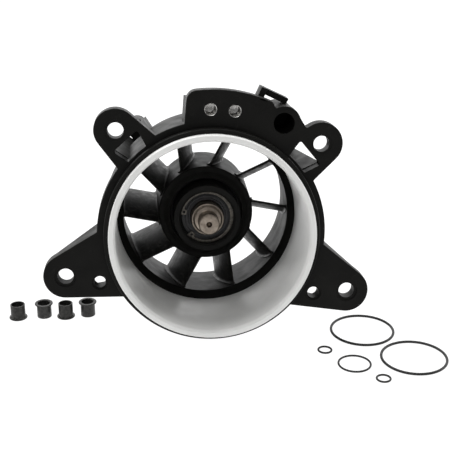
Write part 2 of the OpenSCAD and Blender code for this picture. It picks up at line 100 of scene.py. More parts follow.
NOZZLE_PITCH_R = 81.0
NOZZLE_BOSS_R = 8.0
NOZZLE_BOSS_LEN = 24.0
NOZZLE_INSERT_R = 3.4
NOZZLE_INSERT_LEN = 16.0
RIB_T = 4.0
RIB_INSET = 0.3
LOWER_RIB_LEN = 43.4
LOWER_RIB_DEPTH = 33.0
LONG_RIB_END = 106.0
LONG_RIB_MIDDLE = (7.75, 14.4)
LONG_RIB_T = (5.5, 2.2)
BRACKET_RIB_DEPTH = 46.0
HOOK_ANGLE = 69.5
HOOK_LEN = 22.0
HOOK_W = 15.0
HOOK_T = 4.5
HOOK_GAP = 1.5
FLANGE_LOW = -51.0

# ---- sizes of hub and vanes
HUB_FRONT = 67.0
HUB_END = 121.0
HUB_R = 37.1
HUB_REAR_R = 38.9
NOSE_R = 26.0
NOSE_FRONT = 47.0
SEAL_BORE_R = 20.6
BEARING_R = 26.0
CONE_PITCH_R = 32.65
CONE_INSERT_R = 2.1
CONE_INSERT_LEN = 10.0
VANES = 10
VANE_PHASE = 17.5
VANE_LEAN = math.radians(24)
VANE_FRONT = 71.0
VANE_LEN = 50.0
VANE_SWEEP = 11.5
VANE_T = 3.4
VANE_ROOT = 2.2

# ---- sizes of the running parts
SHAFT_R = 12.5
STUB_R = 8.0
SHAFT_FRONT = 27.0
SHAFT_STEP = 45.0
THREAD_R = 10.0
STACK_END = 111.0
BEARING_FRONTS = (70.0, 96.0)
BEARING_W = 15.0
BALL_R = 3.97
BALLS = 9
PITCH_R = 19.25
NUT_AF = 30.0
NUT_T = 8.0
WASHER_T = 2.0

KIT_ROLL = math.radians(-5)
SLEEVE_END = THROAT_Y - 1
KIT_TILT = math.atan((SLEEVE_R - REAR_R) / (HOUSING_LEN - SLEEVE_END))
BUSH_R = 5.7
BUSH_WALL = 1.0
BUSH_FLANGE_R = 7.1
BUSH_FLANGE_T = 1.0
BUSH_PLACES = ((-150.7, -4.3, False), (-130.2, -3.3, True), (-113.1, -5.2, False), (-95.7, -3.5, True))
RING_PLACES = {
    "large_seal_ring_1": (117.0, -49.2, 23.95, 1.0),
    "large_seal_ring_2": (146.1, -94.5, 23.95, 1.0),
    "medium_seal_ring": (100.7, -99.3, 11.7, 0.75),
    "small_seal_ring_1": (82.8, -77.3, 4.9, 0.75),
    "small_seal_ring_2": (117.0, -121.5, 4.9, 0.75),
}
kit_frame = (
    Matrix.Rotation(KIT_ROLL, 4, "Y")
    @ Matrix.Translation((0, SLEEVE_END, -SLEEVE_R))
    @ Matrix.Rotation(KIT_TILT, 4, "X")
)


# ---- outlines and profiles
def rounded(path, radii, steps=4, closed=False):
    """Every corner becomes an arc that touches both of its edges. The arc is a rational
    quadratic through the two touching points, weighted by the sine of half the corner."""
    p = np.asarray(path, float)
    r = np.broadcast_to(np.asarray(radii, float), (len(p),)).copy()
    if not closed:
        r[[0, -1]] = 0
    back, ahead = np.roll(p, 1, 0) - p, np.roll(p, -1, 0) - p
    reach_back, reach_ahead = np.linalg.norm(back, axis=1), np.linalg.norm(ahead, axis=1)
    back, ahead = back / reach_back[:, None], ahead / reach_ahead[:, None]
    half = 0.5 * np.arccos(np.clip((back * ahead).sum(1), -1, 1))
    cut = np.minimum(r / np.tan(half), 0.48 * np.minimum(reach_back, reach_ahead))
    t = np.linspace(0, 1, steps + 1)[None, :, None]
    weight = np.sin(half)[:, None, None]
    first, last = (p + back * cut[:, None])[:, None], (p + ahead * cut[:, None])[:, None]
    a, b, c = (1 - t) ** 2, 2 * weight * t * (1 - t), t**2
    arcs = (a * first + b * p[:, None] + c * last) / (a + b + c)
    keep = np.ones(arcs.shape[:2], bool)
    keep[r <= 0, 1:] = False
    return arcs[keep]


def cornered(corners, steps=4, closed=False):
    """A rounded path from corners of (radius, y, rounding)."""
    return rounded([c[:2] for c in corners], [c[2] for c in corners], steps, closed)


def resampled(loop, spacing):
    """A closed outline with extra points along its long edges, none further apart than spacing."""
    nxt = np.roll(loop, -1, 0)
    counts = np.maximum(1, np.ceil(np.linalg.norm(nxt - loop, axis=1) / spacing)).astype(int)
    start = np.repeat(np.arange(len(loop)), counts)
    share = (np.arange(len(start)) - np.repeat(np.cumsum(counts) - counts, counts)) / counts[start]
    return loop[start] + share[:, None] * (nxt[start] - loop[start])


def inward(loop):
    """Unit normals that point to the left of a closed outline's direction, which is inwards on
    an outline that runs anticlockwise: the tangent between the two neighbours, turned 90."""
    t = np.roll(loop, -1, 0) - np.roll(loop, 1, 0)
    t /= np.linalg.norm(t, axis=1)[:, None]
    return np.stack([-t[:, 1], t[:, 0]], 1)


def walled(loop, wall):
    """An outline carried along a wall profile of (inset, depth): one ring of points for each
    profile point, moved inwards by the inset."""
    wall = np.asarray(wall, float)
    flat = loop[None] + inward(loop)[None] * wall[:, 0, None, None]
    depth = np.broadcast_to(wall[:, 1, None, None], flat.shape[:2] + (1,))
    return np.concatenate([flat, depth], 2)


def bored(centre, profile, n=48):
    """A round hole whose radius follows a profile of (radius, depth)."""
    profile = np.asarray(profile, float)
    a = np.linspace(0, 2 * np.pi, n, endpoint=False)
    r, y = profile[:, 0, None], profile[:, 1, None]
    return np.stack([centre[0] + r * np.cos(a), centre[1] + r * np.sin(a), y + 0 * a], 2)


def edge_wall(depth0, depth1, edge):
    """The wall profile of a plate between two depths with both edges rounded."""
    lap = 2.2 * edge
    return rounded([(lap, depth0), (0, depth0), (0, depth1), (lap, depth1)], edge, 3)


def hole_wall(r, depth0, depth1, edge, recess_r=None, recess=0.0):
    """The profile of a through hole, with an optional round recess at its first face."""
    if recess_r is None:
        lap = 2.2 * edge
        return rounded([(r + lap, depth0), (r, depth0), (r, depth1), (r + lap, depth1)], edge, 3)
    return rounded(
        [
            (recess_r + 2.2 * edge, depth0), (recess_r, depth0), (recess_r, depth0 + recess),
            (r, depth0 + recess), (r, depth1), (r + 2.2 * edge, depth1),
        ],
        [0, edge, edge * 0.6, edge, edge, 0],
        3,
    )


def blind_wall(r, depth0, depth1, edge):
    """The profile of a blind hole, ending a hair from its axis for the closing fan."""
    return rounded([(r + 2.2 * edge, depth0), (r, depth0), (r, depth1), (0.02, depth1)], edge, 3)


def polar(r, degrees):
    """A point at a distance and an angle from the axis."""
    a = np.radians(degrees)
    return np.stack([r * np.cos(a), r * np.sin(a)], -1)


def ray_circle(angles, centre, r):
    """Distance from the axis at which the ray at each angle leaves a circle, 0 where it misses."""
    far, turn = math.hypot(*centre), angles - math.atan2(centre[1], centre[0])
    inside = r**2 - (far * np.sin(turn)) ** 2
    hit = (inside > 0) & (np.cos(turn) > 0)
    return np.where(hit, far * np.cos(turn) + np.sqrt(np.maximum(inside, 0)), 0)


def ray_polygon(angles, corners):
    """Distance from the axis at which the ray at each angle last crosses a polygon's edge: the
    ray t*u meets the edge p + s*e where t = (p x e)/(u x e) and s = (p x u)/(u x e)."""
    p = np.asarray(corners, float)
    e = np.roll(p, -1, 0) - p
    ux, uz = np.cos(angles)[:, None], np.sin(angles)[:, None]
    across = ux * e[:, 1] - uz * e[:, 0]
    across = np.where(np.abs(across) < 1e-9, 1e-9, across)
    t = (p[:, 0] * e[:, 1] - p[:, 1] * e[:, 0]) / across
    s = (p[:, 0] * uz - p[:, 1] * ux) / across
    return np.where((s >= 0) & (s <= 1) & (t > 0), t, 0).max(1)


def ear_polygon(hole, r, away1, len1, away2, len2):
    """A round end and two straight edges that leave it in the directions away1 and away2."""
    rim = np.asarray(hole) + polar(r, np.linspace(away1 + 90, away2 - 90, 60))
    return np.vstack([rim, rim[-1] + polar(len2, away2), rim[0] + polar(len1, away1)])


# ---- meshes
class Shell:
    """Collects grids, caps and fans that share their rims, so that the surface is closed."""

    def __init__(self):
        self.points, self.faces, self.count = [], [], 0

    def add(self, points):
        """Keeps points of any grid shape and gives back their numbers in the same shape."""
        points = np.asarray(points, float)
        numbers = self.count + np.arange(points[..., 0].size).reshape(points.shape[:-1])
        self.points.append(points.reshape(-1, 3))
        self.count += numbers.size
        return numbers

    def skin(self, numbers, wrap=False):
        """Quads between each ring and the next, and from the last to the first with wrap."""
        rows = np.vstack([numbers, numbers[:1]]) if wrap else numbers
        nxt = np.roll(rows, -1, 1)
        quads = np.stack([rows[:-1], nxt[:-1], nxt[1:], rows[1:]], -1).reshape(-1, 4)
        self.faces += quads.tolist()
        return numbers

    def sweep(self, rings, wrap=False):
        return self.skin(self.add(rings), wrap)

    def fan(self, ring):
        """Closes a ring with triangles to its middle."""
        points = np.vstack(self.points)[ring]
        hub = self.add(points.mean(0)[None])[0]
        nxt = np.roll(ring, -1)
        self.faces += np.stack([ring, nxt, np.full_like(ring, hub)], -1).tolist()

    def cap(self, rings):
        """Fills the flat space inside the first ring and outside the others."""
        points = np.vstack(self.points)
        numbers = np.concatenate(rings)
        lines = [[Vector(p) for p in points[ring]] for ring in rings]
        self.faces += numbers[np.array(tessellate_polygon(lines))].tolist()


def along_y(grid):
    """Local (x, z, depth) points to pump points (x, depth, z)."""
    return np.stack([grid[..., 0], grid[..., 2], grid[..., 1]], -1)


def turned_grid(profile, n, centre=(0, 0)):
    """A profile of (radius, y) carried round a line along Y."""
    return along_y(bored(centre, profile, n))


def turned(shell, profile, n=96, centre=(0, 0)):
    """A closed profile gives a ring; one that starts and ends on its axis gives a solid."""
    profile = np.asarray(profile, float)
    if profile[0, 0] < 0.05 and profile[-1, 0] < 0.05:
        numbers = shell.sweep(turned_grid(profile, n, centre))
        shell.fan(numbers[0])
        shell.fan(numbers[-1])
    else:
        shell.sweep(turned_grid(profile, n, centre), wrap=True)


def slab(shell, outline, depth0, depth1, edge, place, holes=(), spacing=3.0):
    """A plate with rounded edges: the outline and its holes carried along their wall profiles,
    with a flat cap at each face. place turns local (u, v, depth) points into pump points."""
    loop = resampled(np.asarray(outline, float), spacing)
    numbers = shell.sweep(place(walled(loop, edge_wall(depth0, depth1, edge))))
    first, last = [numbers[0]], [numbers[-1]]
    for grid, where in holes:
        cut = shell.sweep(place(grid))
        if where in ("through", "first"):
            first.append(cut[0])
        if where == "through":
            last.append(cut[-1])
        if where == "last":
            last.append(cut[0])
        if where != "through":
            shell.fan(cut[-1])
    shell.cap(first)
    shell.cap(last)


def radial_place(degrees):
    """Local (radius, y, sideways) points to pump points in the plane at an angle round the axis."""
    c, s = math.cos(math.radians(degrees)), math.sin(math.radians(degrees))

    def place(grid):
        r, y, side = grid[..., 0], grid[..., 1], grid[..., 2]
        return np.stack([r * c - side * s, y, r * s + side * c], -1)

    return place


def turned_place(degrees):
    """Local (radius, sideways, y) points to pump points at an angle round the axis."""
    place = radial_place(degrees)
    return lambda grid: place(grid[..., [0, 2, 1]])


def piece(name, shell, body, finish, replaced=(), sharp=38, flat_faces=False):
    """Makes the mesh, turns its faces outwards, smooths all but its sharp edges, and rides it."""
    mesh = bpy.data.meshes.new(name)
    mesh.from_pydata(np.vstack(shell.points) * MM, [], shell.faces)
    bm = bmesh.new()
    bm.from_mesh(mesh)
    bmesh.ops.remove_doubles(bm, verts=bm.verts, dist=1e-6)
    bmesh.ops.recalc_face_normals(bm, faces=bm.faces)
    bm.to_mesh(mesh)
    bm.free()
    mesh.shade_smooth()
    mesh.set_sharp_from_angle(angle=math.radians(sharp))
    mesh.materials.append(finish)
    obj = bpy.data.objects.new(name, mesh)
    bpy.context.scene.collection.objects.link(obj)
    if flat_faces:
        level = obj.modifiers.new("flat faces stay flat", "WEIGHTED_NORMAL")
        level.keep_sharp = True
        level.weight = 50
    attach(obj, body)
    if replaced:
        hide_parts(*replaced)
    return obj


# ---- finishes
class Finish:
    """A material whose pattern nodes are added one call at a time."""

    def __init__(self, name, colour, rough, metal=0.0, specular=0.5):
        self.material = bpy.data.materials.new(name)
        self.material.use_nodes = True
        self.tree = self.material.node_tree
        self.shader = self.tree.nodes["Principled BSDF"]
        self.shader.inputs["Base Color"].default_value = (*colour, 1)
        self.shader.inputs["Roughness"].default_value = rough
        self.shader.inputs["Metallic"].default_value = metal
        self.shader.inputs["Specular IOR Level"].default_value = specular
        self.spot = self.node("ShaderNodeTexCoord").outputs["Object"]

    def node(self, kind, **settings):
        made = self.tree.nodes.new(kind)
        for key, value in settings.items():
            setattr(made, key, value)
        return made

    def link(self, source, target):
        self.tree.links.new(source, target)

    def sum(self, operation, *values):
        made = self.node("ShaderNodeMath", operation=operation)
        for socket, value in zip(made.inputs, values):
            if isinstance(value, (int, float)):
                socket.default_value = value
            else:
                self.link(value, socket)
        return made.outputs[0]

    def noise(self, per_mm, detail=4.0, stretch=(1, 1, 1), vector=None, warp=0.0):
        """Noise with per_mm features to a millimetre, stretched along the axes."""
        shift = self.node("ShaderNodeMapping")
        self.link(vector or self.spot, shift.inputs["Vector"])
        shift.inputs["Scale"].default_value = [1000 * s for s in stretch]
        made = self.node("ShaderNodeTexNoise")
        self.link(shift.outputs[0], made.inputs["Vector"])
        made.inputs["Scale"].default_value = per_mm
        made.inputs["Detail"].default_value = detail
        made.inputs["Distortion"].default_value = warp
        return made.outputs["Fac"]

    def rings(self, per_mm, detail=2.0):
        """Noise that varies only with the distance from the pump axis and along it, as the
        marks of turning do."""
        split = self.node("ShaderNodeSeparateXYZ")
        self.link(self.spot, split.inputs[0])
        x, y, z = split.outputs
        r = self.sum("SQRT", self.sum("ADD", self.sum("POWER", x, 2.0), self.sum("POWER", z, 2.0)))
        join = self.node("ShaderNodeCombineXYZ")
        self.link(r, join.inputs[0])
        self.link(y, join.inputs[1])
        return self.noise(per_mm, detail, vector=join.outputs[0])

    def ramp(self, factor, *stops):
        """Values between stops of (position, value or colour)."""
        made = self.node("ShaderNodeValToRGB")
        self.link(factor, made.inputs[0])
        marks = made.color_ramp.elements
        while len(marks) < len(stops):
            marks.new(0.5)
        for mark, (place, value) in zip(marks, stops):
            mark.position = place
            shade = value if isinstance(value, tuple) else (value,) * 3
            mark.color = (*shade, 1)
        return made.outputs[0]

    def mix(self, factor, a, b):
        made = self.node("ShaderNodeMix", data_type="RGBA")
        for socket, value in zip((made.inputs[0], made.inputs[6], made.inputs[7]), (factor, a, b)):
            if isinstance(value, tuple):
                socket.default_value = (*value, 1)
            elif isinstance(value, (int, float)):
                socket.default_value = value
            else:
                self.link(value, socket)
        return made.outputs[2]

    def colour(self, source):
        self.link(source, self.shader.inputs["Base Color"])

    def rough(self, source):
        self.link(source, self.shader.inputs["Roughness"])

    def bump(self, *layers):
        """Layers of (height, depth in millimetres), each on top of the one before."""
        normal = None
        for height, depth in layers:
            made = self.node("ShaderNodeBump")
            made.inputs["Distance"].default_value = depth * MM
            made.inputs["Strength"].default_value = 1.0
            self.link(height, made.inputs["Height"])
            if normal:
                self.link(normal, made.inputs["Normal"])
            normal = made.outputs[0]
        self.link(normal, self.shader.inputs["Normal"])


def moulded_polymer():
    """Near-black glass-filled nylon: fine moulded grain, faint flow marks and light scuffs."""
    f = Finish("moulded_polymer", (0.006, 0.006, 0.0053), 0.52, 0.0, 0.1)
    grain = f.noise(2.2, 3)
    cloud = f.noise(0.035, 5, warp=0.6)
    scuff = f.noise(0.16, 8, stretch=(1, 0.35, 1), warp=1.2)
    dark = f.ramp(cloud, (0.3, (0.0042, 0.0042, 0.0038)), (0.7, (0.0078, 0.0076, 0.0068)))
    worn = f.ramp(scuff, (0.6, 0.0), (0.78, 0.5))
    f.colour(f.mix(worn, dark, (0.016, 0.0156, 0.0142)))
    f.rough(f.ramp(f.noise(0.08, 6), (0.3, 0.4), (0.7, 0.56)))
    f.bump((grain, 0.02), (scuff, 0.02))
    return f.material


def scuffed_polymer():
    """The same polymer where the water runs: mottled flow marks, pale wipes and streaks."""
    f = Finish("scuffed_polymer", (0.008, 0.008, 0.0072), 0.5, 0.0, 0.12)
    grain = f.noise(1.6, 3)
    blotch = f.noise(0.11, 7, warp=2.2)
    streak = f.noise(0.3, 6, stretch=(1, 0.25, 1), warp=0.8)
    tones = (0.36, (0.006, 0.006, 0.0056)), (0.54, (0.012, 0.0118, 0.0108)), (0.72, (0.045, 0.0435, 0.039))
    dark = f.ramp(blotch, *tones)
    wiped = f.ramp(streak, (0.5, 0.0), (0.72, 0.75))
    f.colour(f.mix(wiped, dark, (0.026, 0.0252, 0.0228)))
    f.rough(f.ramp(blotch, (0.35, 0.3), (0.62, 0.5)))
    f.bump((grain, 0.02), (blotch, 0.12), (streak, 0.05))
    return f.material


def ring_polymer():
    """White wear ring: smooth acetal with faint turning marks and slight handling marks."""
    f = Finish("ring_polymer", (0.8, 0.8, 0.785), 0.34)
    turning = f.rings(1.4, 2)
    marks = f.noise(0.05, 6, warp=0.5)
    f.colour(f.ramp(marks, (0.3, (0.76, 0.76, 0.745)), (0.7, (0.83, 0.83, 0.815))))
    f.rough(f.ramp(f.noise(0.2, 5), (0.3, 0.28), (0.7, 0.42)))
    f.bump((turning, 0.012), (marks, 0.05))
    return f.material


def turned_steel(name, low, high, rough_low, rough_high, marks=2.5, depth=0.02):
    """Turned steel: rings of tool marks about the pump axis over a slow change of tone."""
    f = Finish(name, high, rough_low, 1.0)
    tool = f.rings(marks, 3)
    tone = f.noise(0.25, 6, warp=0.8)
    f.colour(f.ramp(tone, (0.3, low), (0.7, high)))
    f.rough(f.ramp(f.noise(0.5, 5), (0.3, rough_low), (0.7, rough_high)))
    f.bump((tool, depth), (f.noise(3.0, 2), 0.008))
    return f.material


def pressed_steel(name, low, high, rough_low, rough_high):
    """Sheet or bar steel: fine even grain with light rubs."""
    f = Finish(name, high, rough_low, 1.0)
    rub = f.noise(0.6, 7, stretch=(1, 0.4, 1), warp=0.5)
    f.colour(f.ramp(rub, (0.3, low), (0.7, high)))
    f.rough(f.ramp(f.noise(0.9, 4), (0.3, rough_low), (0.7, rough_high)))
    f.bump((f.noise(4.0, 2), 0.006), (rub, 0.01))
    return f.material


def soft_rubber(name, low, high, rough_low, rough_high):
    """Rubber: matt bloom in slow clouds over a fine grain."""
    f = Finish(name, high, rough_low, 0.0, 0.4)
    bloom = f.noise(0.2, 6, warp=0.4)
    f.colour(f.ramp(bloom, (0.3, low), (0.7, high)))
    f.rough(f.ramp(f.noise(0.5, 5), (0.3, rough_low), (0.7, rough_high)))
    f.bump((f.noise(2.5, 3), 0.012))
    return f.material


def black_oxide():
    """Oxide-blackened steel of the bushes, with lighter rubbed patches spread at random by noise."""
    f = Finish("black_oxide", (0.02, 0.02, 0.019), 0.36, 0.55)
    rub = f.noise(0.5, 7, warp=0.8)
    f.colour(f.ramp(rub, (0.35, (0.016, 0.016, 0.015)), (0.72, (0.045, 0.044, 0.041))))
    f.rough(f.ramp(f.noise(0.8, 5), (0.3, 0.3), (0.7, 0.46)))
    f.bump((f.noise(2.4, 3), 0.01))
    return f.material


polymer = moulded_polymer()
flow_polymer = scuffed_polymer()
white_polymer = ring_polymer()
shaft_steel = turned_steel("shaft_steel", (0.17, 0.14, 0.115), (0.32, 0.275, 0.23), 0.3, 0.45)
insert_steel = turned_steel("insert_steel", (0.6, 0.59, 0.57), (0.75, 0.74, 0.72), 0.2, 0.32)
clip_steel = pressed_steel("clip_steel", (0.06, 0.056, 0.05), (0.16, 0.148, 0.13), 0.4, 0.55)
spring_steel = pressed_steel("spring_steel", (0.34, 0.32, 0.29), (0.52, 0.5, 0.46), 0.3, 0.45)
cage_steel = pressed_steel("cage_steel", (0.45, 0.41, 0.34), (0.6, 0.56, 0.48), 0.3, 0.42)
race_steel = turned_steel("race_steel", (0.66, 0.66, 0.66), (0.78, 0.78, 0.78), 0.12, 0.22, 3.5, 0.006)
ring_rubber = soft_rubber("ring_rubber", (0.003, 0.003, 0.003), (0.007, 0.007, 0.0068), 0.45, 0.6)
seal_rubber = soft_rubber("seal_rubber", (0.02, 0.02, 0.021), (0.038, 0.038, 0.04), 0.42, 0.56)
bush_oxide = black_oxide()


# ---- the housing moulding
def plate_outline():
    """Polar outline: at each angle the furthest of the flange ring, the four ears, the top
    bracket, the hose port and its link to the upper ear."""
    a = np.linspace(-np.pi, np.pi, 2400, endpoint=False)
    corner_r = BRACKET_R - BRACKET_FILLET
    left = BRACKET_LEFT + BRACKET_FILLET
    corner = np.array([left, math.sqrt(corner_r**2 - left**2)])
    start = math.degrees(math.atan2(corner[1], corner[0]))
    bracket = np.vstack(
        [
            [(BRACKET_LEFT, SLEEVE_R - 8), (BRACKET_LEFT, corner[1])],
            corner + polar(BRACKET_FILLET, np.linspace(180, start, 12)),
            polar(BRACKET_R, np.linspace(start, BRACKET_END, 60)[1:]),
            [PORT, UPPER_HOLE, polar(SLEEVE_R - 2, 46)],
        ]
    )
    link = [PORT, (PORT[0] + 9, PORT[1] + 8), (UPPER_HOLE[0] - 13, UPPER_HOLE[1] + 12)]
    link += [UPPER_HOLE, tuple(polar(SLEEVE_R - 2, 46))]
    upper = ear_polygon(UPPER_HOLE, UPPER_EAR_R, -131, 32, 217, 36)
    lower = ear_polygon(LOWER_HOLE, LOWER_EAR_R, -184, 60, 144.7, 46)
    mirror = np.array([-1, 1])
    low = FLANGE_LOW / np.minimum(np.sin(a), -1e-6)
    reach = np.maximum(np.minimum(FLANGE_R, low), SLEEVE_R - 2)
    for shape in (upper, upper * mirror, lower, lower * mirror, bracket, link):
        reach = np.maximum(reach, ray_polygon(a, shape))
    reach = np.maximum(reach, ray_circle(a, PORT, PORT_BOSS_R))
    loop = np.stack([reach * np.cos(a), reach * np.sin(a)], 1)
    for _ in range(4):
        loop = (np.roll(loop, 1, 0) + 2 * loop + np.roll(loop, -1, 0)) / 4
    return loop


def pocket_loop(side):
    """The opening between an upper ear and the sleeve: a trapezoid about the line to the ear's
    hole, its inner edge an arc about the axis and its corners rounded."""
    middle = math.degrees(math.atan2(UPPER_HOLE[1], UPPER_HOLE[0]))
    inner_r, outer_r = SLEEVE_R + 0.6, math.hypot(*UPPER_HOLE) - EAR_HOLE_R - 4.2
    inner = polar(inner_r, np.linspace(6.1, -6.1, 9))
    loop = np.vstack([inner, [(outer_r, -11.6), (outer_r, 11.6)]])
    radii = np.array([1.2] + [0] * 7 + [1.2, 1.6, 1.6])
    loop = rounded(loop, radii, 5, closed=True)
    c, s = math.cos(math.radians(middle)), math.sin(math.radians(middle))
    loop = np.stack([loop[:, 0] * c - loop[:, 1] * s, loop[:, 0] * s + loop[:, 1] * c], 1)
    loop = resampled(loop, 1.5)
    return loop if side > 0 else (loop * [-1, 1])[::-1]


def outward_loop(loop):
    """The same outline running clockwise, so that its walls move outwards."""
    x, z = loop[:, 0], loop[:, 1]
    area = (x * np.roll(z, -1) - z * np.roll(x, -1)).sum()
    return loop[::-1] if area > 0 else loop


def front_plate():
    """Flange ring, four ears and top bracket in one plate with all of its holes."""
    shell = Shell()
    e = 0.45
    holes = []
    lower_recess, dowel_recess = EAR_HOLE_R + RECESS, DOWEL_HOLE_R + DOWEL_RECESS
    for side in (1, -1):
        upper = (side * UPPER_HOLE[0], UPPER_HOLE[1])
        lower = (side * LOWER_HOLE[0], LOWER_HOLE[1])
        dowel = (side * DOWEL_HOLE[0], DOWEL_HOLE[1])
        holes += [
            (bored(upper, hole_wall(EAR_HOLE_R, 0, EAR_T, 0.3, 7.8, 0.35)), "through"),
            (bored(lower, hole_wall(EAR_HOLE_R, 0, EAR_T, 0.3, lower_recess, RECESS_DEPTH)), "through"),
            (bored(dowel, hole_wall(DOWEL_HOLE_R, 0, EAR_T, 0.3, dowel_recess, RECESS_DEPTH)), "through"),
            (walled(outward_loop(pocket_loop(side)), edge_wall(0, EAR_T, e)), "through"),
        ]
    for place in INSERT_HOLES:
        wide = INSERT_R + INSERT_WALL + 0.04
        wall = rounded(
            [
                (INSERT_R + 1.4, 0), (INSERT_R + 0.5, 0), (INSERT_R + 0.5, INSERT_SINK),
                (wide, INSERT_SINK), (wide, EAR_T), (wide + 0.8, EAR_T),
            ],
            [0, 0.35, 0.1, 0.1, 0.3, 0],
            3,
        )
        holes.append((bored(place, wall), "through"))
    holes.append((bored(PORT, hole_wall(PORT_R, 0, EAR_T, 0.4), 64), "through"))
    holes.append((bored(PIN_MARK, blind_wall(PIN_MARK_R, 0, 0.25, 0.12), 40), "first"))
    inner_r = SEAT_R + 1.4
    inner = np.array([(inner_r, 0), (inner_r, EAR_T)], float)
    holes.append((bored((0, 0), inner, 240), "through"))
    slab(shell, plate_outline(), 0, EAR_T, MOULD_EDGE, along_y, holes)
    return shell


def duct_profile():
    """Sleeve, neck, duct and throat in section, as (radius, y)."""
    corners = [
        (SEAT_R, SLEEVE_FRONT, 0.5), (LIP_R, SLEEVE_FRONT, 0.8), (LIP_R, 0.08, 0),
        (SLEEVE_R, 0.08, 0.6), (SLEEVE_R, SLEEVE_END, 2.0), (NECK_R, NECK_Y, 3.0),
        (REAR_R, HOUSING_LEN - 0.05, 0.5), (EXIT_R, HOUSING_LEN - 0.05, 0.6),
        (THROAT_R, THROAT_Y, 1.2), (BORE_R + 0.3, RING_REAR + 0.05, 0.3),
        (SEAT_R, RING_REAR + 0.05, 0.3),
    ]
    return cornered(corners, 4, closed=True)


def round_boss(shell, centre, r, y0, y1, bore_r, bore_end, edge):
    """A boss along Y with a blind bore from its front."""
    profile = [(0.02, bore_end), (bore_r, bore_end), (bore_r, y0), (r, y0), (r, y1), (0.02, y1)]
    turned(shell, rounded(profile, [0, 0.4, 0.2, 0.3, edge, 0], 4), 64, centre)


def nozzle_boss(shell, degrees):
    """A boss with a round outer side, run into the duct, bored blind from the rear for its insert."""
    inner = REAR_R - 0.3
    arc = np.array([NOZZLE_PITCH_R, 0]) + polar(NOZZLE_BOSS_R, np.linspace(-90, 90, 24))
    outline = np.vstack([arc, [(inner, NOZZLE_BOSS_R), (inner, -NOZZLE_BOSS_R)]])
    bore = NOZZLE_INSERT_R + INSERT_WALL + 0.04
    wall = rounded(
        [
            (bore + 0.8, HOUSING_LEN), (bore, HOUSING_LEN), (bore, HOUSING_LEN - NOZZLE_INSERT_LEN),
            (0.02, HOUSING_LEN - NOZZLE_INSERT_LEN),
        ],
        [0, 0.3, 0.1, 0],
        3,
    )
    hole = bored((NOZZLE_PITCH_R, 0), wall)
    start = HOUSING_LEN - NOZZLE_BOSS_LEN
    slab(shell, outline, start, HOUSING_LEN, 0.7, turned_place(degrees), [(hole, "last")])


def edge_rib(shell, away, inner, side):
    """A rib along a straight edge of a lower ear, deepest at the sleeve, on either side of X."""
    start = np.array(LOWER_HOLE) + polar(LOWER_EAR_R, away - inner * 90)
    turned_to = radial_place(away)
    depth0 = RIB_INSET if inner > 0 else -RIB_INSET - RIB_T

    def place(grid):
        points = turned_to(grid) + np.array([start[0], 0, start[1]])
        return points * np.array([side, 1, 1])

    outline = [
        (0, EAR_T - 1), (LOWER_RIB_LEN, EAR_T - 1), (LOWER_RIB_LEN, LOWER_RIB_DEPTH),
        (0, EAR_T + 0.5),
    ]
    slab(shell, outline, depth0, depth0 + RIB_T, 0.6, place)


def long_rib(shell, away, flank):
    """One of the two ribs from an upper ear along the housing to the nozzle boss. Its middle
    moves sideways and its width shrinks evenly with the radius."""
    near, far = EXIT_R + 1.5, math.hypot(*UPPER_HOLE) - 2
    turned_to = radial_place(away)

    def place(grid):
        share = (grid[..., 0] - near) / (far - near)
        middle = flank * (LONG_RIB_MIDDLE[0] + (LONG_RIB_MIDDLE[1] - LONG_RIB_MIDDLE[0]) * share)
        width = LONG_RIB_T[0] + (LONG_RIB_T[1] - LONG_RIB_T[0]) * share
        return turned_to(np.stack([grid[..., 0], grid[..., 1], middle + grid[..., 2] * width], -1))

    outline = [
        (SLEEVE_R - 3, EAR_T - 1), (far, EAR_T - 1), (far, EAR_T + 1), (SLEEVE_R + 13, EAR_T + 5),
        (SLEEVE_R + 4, LONG_RIB_END), (EXIT_R + 2.5, LONG_RIB_END), (EXIT_R + 2.5, THROAT_Y + 5),
        (SLEEVE_R - 3, RING_REAR - 0.6),
    ]
    slab(shell, outline, -0.5, 0.5, 0.12, place)


def block(shell, degrees, r0, r1, y0, y1, side0, side1, edge):
    """A bar with rounded edges in the radial plane at an angle."""
    outline = [(r0, y0), (r1, y0), (r1, y1), (r0, y1)]
    slab(shell, outline, side0, side1, edge, radial_place(degrees))


housing = Shell()
turned(housing, duct_profile(), 240)
round_boss(housing, PORT, PORT_BOSS_R - 0.3, EAR_T - 0.6, PORT_LEN, PORT_R + 0.05, PORT_DEPTH, 1.2)
for centre in INSERT_HOLES:
    round_boss(
        housing, centre, INSERT_R + INSERT_WALL + 1.95, EAR_T - 0.6, INSERT_END + 1,
        INSERT_R + INSERT_WALL + 0.04, INSERT_END + 0.04, 0.8,
    )
port_angle = math.degrees(math.atan2(PORT[1], PORT[0]))
port_far = math.hypot(*PORT)
block(housing, port_angle, SLEEVE_R - 2, port_far - 9.5, EAR_T - 1, PORT_LEN - 0.4, -4, 4, 0.6)
for quarter in range(4):
    nozzle_boss(housing, 45 + 90 * quarter)
upper_angle = math.degrees(math.atan2(UPPER_HOLE[1], UPPER_HOLE[0]))
for side in (1, -1):
    edge_rib(housing, -184, -1, side)
    edge_rib(housing, 144.7, 1, side)
    for flank in (1, -1):
        long_rib(housing, upper_angle if side > 0 else 180 - upper_angle, flank)
rib_left, rib_top, rib_foot = BRACKET_LEFT + RIB_INSET, BRACKET_R - 11, SLEEVE_R - 6.5
rib = [(rib_left, rib_foot), (rib_left + RIB_T, rib_foot), (rib_left + RIB_T, rib_top), (rib_left, rib_top)]
slab(housing, rib, EAR_T - 1, BRACKET_RIB_DEPTH, 0.6, along_y)
block(
    housing, HOOK_ANGLE, BRACKET_R - 8, BRACKET_R + HOOK_GAP + HOOK_T, EAR_T - 1, EAR_T + HOOK_W,
    HOOK_LEN / 2 - HOOK_T, HOOK_LEN / 2, 0.5,
)
